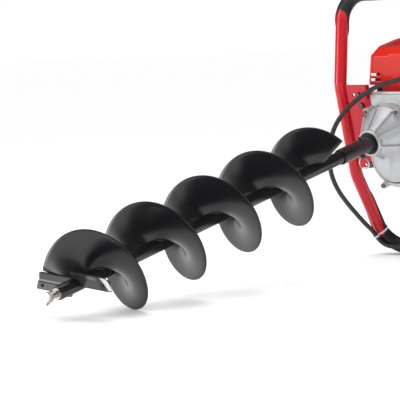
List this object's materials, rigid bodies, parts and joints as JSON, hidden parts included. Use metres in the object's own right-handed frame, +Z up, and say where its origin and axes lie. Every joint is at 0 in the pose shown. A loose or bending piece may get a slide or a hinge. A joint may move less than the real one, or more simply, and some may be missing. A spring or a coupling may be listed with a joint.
{
  "type": "ice auger",
  "caption": "Motorised ice auger lying down: black single-flight bit with two cutting blades, die-cast gear case, small petrol engine and a red tube handle loop.",
  "frame": {"origin": "middle of the object's box on the floor it lies on", "axes": "+X along the drill from its point towards the engine, level with the floor; +Z up; the drill axis rises 13 degrees towards the engine"},
  "size_m": [1.3672, 0.327, 0.6571],
  "materials": {
    "black_powder_coat": "satin black powder coat",
    "tool_steel": "ground steel",
    "black_bolt": "black oxide",
    "bright_steel": "machined steel",
    "cast_aluminium": "bead-blasted die casting",
    "clutch_iron": "sintered iron",
    "zinc_bracket": "zinc plated",
    "red_paint": "gloss red paint",
    "red_plastic": "gloss red moulding",
    "black_plastic": "textured black moulding",
    "grip_rubber": "soft-touch black rubber",
    "loom_plastic": "ribbed black loom",
    "fuel_hose": "black fuel hose",
    "tank_plastic": "translucent natural moulding",
    "clear_nylon": "natural nylon",
    "red_switch": "gloss red",
    "primer_plastic": "translucent moulding",
    "muffler_steel": "heat-proof dark paint"
  },
  "bodies": {
    "powerhead": {"case_bolts": "black_bolt", "frame_bolts": "black_bolt", "gear_bearings": "bright_steel", "crank_bearings": "bright_steel", "connecting_rod": "bright_steel", "recoil_spring": "bright_steel", "spark_plug": "bright_steel", "gear_case_front": "cast_aluminium", "bearing_plate": "cast_aluminium", "gear_case_rear": "cast_aluminium", "clutch_housing": "cast_aluminium", "crankcase": "cast_aluminium", "cylinder": "cast_aluminium", "piston": "cast_aluminium", "carburetor": "cast_aluminium", "cable_bracket": "zinc_bracket", "frame_tube_left": "red_paint", "frame_tube_right": "red_paint", "mounting_plates": "red_paint", "engine_cover": "red_plastic", "starter_housing": "red_plastic", "filter_cover": "black_plastic", "throttle_housing": "black_plastic", "ignition_coil": "black_plastic", "air_filter": "black_plastic", "upper_grip": "grip_rubber", "lower_grip": "grip_rubber", "oil_seal": "grip_rubber", "plug_lead": "grip_rubber", "throttle_loom": "loom_plastic", "fuel_line": "fuel_hose", "fuel_tank": "tank_plastic", "zip_tie": "clear_nylon", "muffler": "muffler_steel"},
    "bit": {"bit_tube": "black_powder_coat", "flighting": "black_powder_coat", "blade_holders": "black_powder_coat", "cutting_blades": "tool_steel", "blade_bolts": "black_bolt", "pilot_point": "tool_steel", "output_shaft": "bright_steel", "output_gear": "bright_steel"},
    "hitch_pin": {"hitch_pin": "black_bolt", "hitch_ring": "bright_steel"},
    "lay_shaft": {"lay_shaft": "bright_steel"},
    "clutch_drum": {"clutch_drum": "bright_steel"},
    "crank": {"crankshaft": "bright_steel", "flywheel_fan": "cast_aluminium", "clutch_spring": "bright_steel"},
    "clutch_shoe_a": {"clutch_shoe_a": "clutch_iron"},
    "clutch_shoe_b": {"clutch_shoe_b": "clutch_iron"},
    "starter_pulley": {"starter_pulley": "black_plastic"},
    "starter_handle": {"starter_handle": "black_plastic"},
    "throttle_trigger": {"throttle_trigger": "black_plastic"},
    "throttle_arm": {"throttle_arm": "zinc_bracket"},
    "choke_lever": {"choke_lever": "black_plastic"},
    "primer_bulb": {"primer_bulb": "primer_plastic"},
    "stop_switch": {"stop_switch": "red_switch"},
    "fuel_cap": {"fuel_cap": "black_plastic"},
    "filter_knob": {"filter_knob": "black_plastic"}
  },
  "joints": [
    {"name": "bit_spin", "type": "hinge", "parent": "powerhead", "child": "bit", "pos_m": [0.40794, 0, 0.30229], "axis": [0.9743, 0, 0.2255], "continuous": true},
    {"name": "hitch_pin_pull", "type": "slide", "parent": "bit", "child": "hitch_pin", "axis": [0.2255, 0, -0.9743], "range_m": [0, 0.055]},
    {"name": "lay_shaft_spin", "type": "hinge", "parent": "powerhead", "child": "lay_shaft", "pos_m": [0.4411, -0.0102, 0.24772], "axis": [0.9743, 0, 0.2255], "continuous": true},
    {"name": "clutch_drum_spin", "type": "hinge", "parent": "powerhead", "child": "clutch_drum", "pos_m": [0.45665, 0, 0.31357], "axis": [0.9743, 0, 0.2255], "continuous": true},
    {"name": "crank_spin", "type": "hinge", "parent": "powerhead", "child": "crank", "pos_m": [0.54921, 0, 0.33499], "axis": [0.9743, 0, 0.2255], "continuous": true},
    {"name": "clutch_shoe_a_slide", "type": "slide", "parent": "crank", "child": "clutch_shoe_a", "axis": [-0.2255, 0, 0.9743], "range_m": [0, 0.0008], "stiffness_N_per_m": 4000, "springref_m": -0.002},
    {"name": "clutch_shoe_b_slide", "type": "slide", "parent": "crank", "child": "clutch_shoe_b", "axis": [0.2255, 0, -0.9743], "range_m": [0, 0.0008], "stiffness_N_per_m": 4000, "springref_m": -0.002},
    {"name": "starter_pull", "type": "slide", "parent": "powerhead", "child": "starter_handle", "axis": [0, -1, 0], "range_m": [0, 0.055], "stiffness_N_per_m": 200, "springref_m": -0.03},
    {"name": "starter_pulley_spin", "type": "hinge", "parent": "powerhead", "child": "starter_pulley", "pos_m": [0.64566, 0, 0.35731], "axis": [0.9743, 0, 0.2255], "range_deg": [0, 130]},
    {"name": "throttle_trigger_pull", "type": "hinge", "parent": "powerhead", "child": "throttle_trigger", "pos_m": [0.58946, 0.06, 0.04048], "axis": [0.9743, 0, 0.2255], "range_deg": [0, 18], "stiffness_Nm_per_rad": 0.6, "springref_deg": -11.46},
    {"name": "throttle_arm_turn", "type": "hinge", "parent": "powerhead", "child": "throttle_arm", "pos_m": [0.50681, -0.066, 0.40729], "axis": [0.9743, 0, 0.2255], "range_deg": [0, 66]},
    {"name": "choke_turn", "type": "hinge", "parent": "powerhead", "child": "choke_lever", "pos_m": [0.54632, -0.09, 0.3918], "axis": [0, -1, 0], "range_deg": [0, 60]},
    {"name": "primer_press", "type": "slide", "parent": "powerhead", "child": "primer_bulb", "axis": [-0.2255, 0, 0.9743], "range_m": [0, 0.004], "stiffness_N_per_m": 500, "springref_m": -0.002},
    {"name": "stop_switch_slide", "type": "slide", "parent": "powerhead", "child": "stop_switch", "axis": [0, -1, 0], "range_m": [0, 0.004]},
    {"name": "fuel_cap_turn", "type": "hinge", "parent": "powerhead", "child": "fuel_cap", "pos_m": [0.62976, -0.048, 0.25304], "axis": [0.9743, 0, 0.2255], "range_deg": [0, 360]},
    {"name": "filter_knob_turn", "type": "hinge", "parent": "powerhead", "child": "filter_knob", "pos_m": [0.50238, -0.12, 0.4309], "axis": [0, -1, 0], "range_deg": [0, 720]}
  ],
  "couplings": [
    {"joint": "lay_shaft_spin", "follows": "bit_spin", "ratio": -4.8571},
    {"joint": "clutch_drum_spin", "follows": "bit_spin", "ratio": 28.333},
    {"joint": "clutch_shoe_b_slide", "follows": "clutch_shoe_a_slide", "ratio": 1},
    {"joint": "starter_pulley_spin", "follows": "starter_pull", "rad_per_m": 40},
    {"joint": "throttle_arm_turn", "follows": "throttle_trigger_pull", "ratio": 3.6}
  ]
}
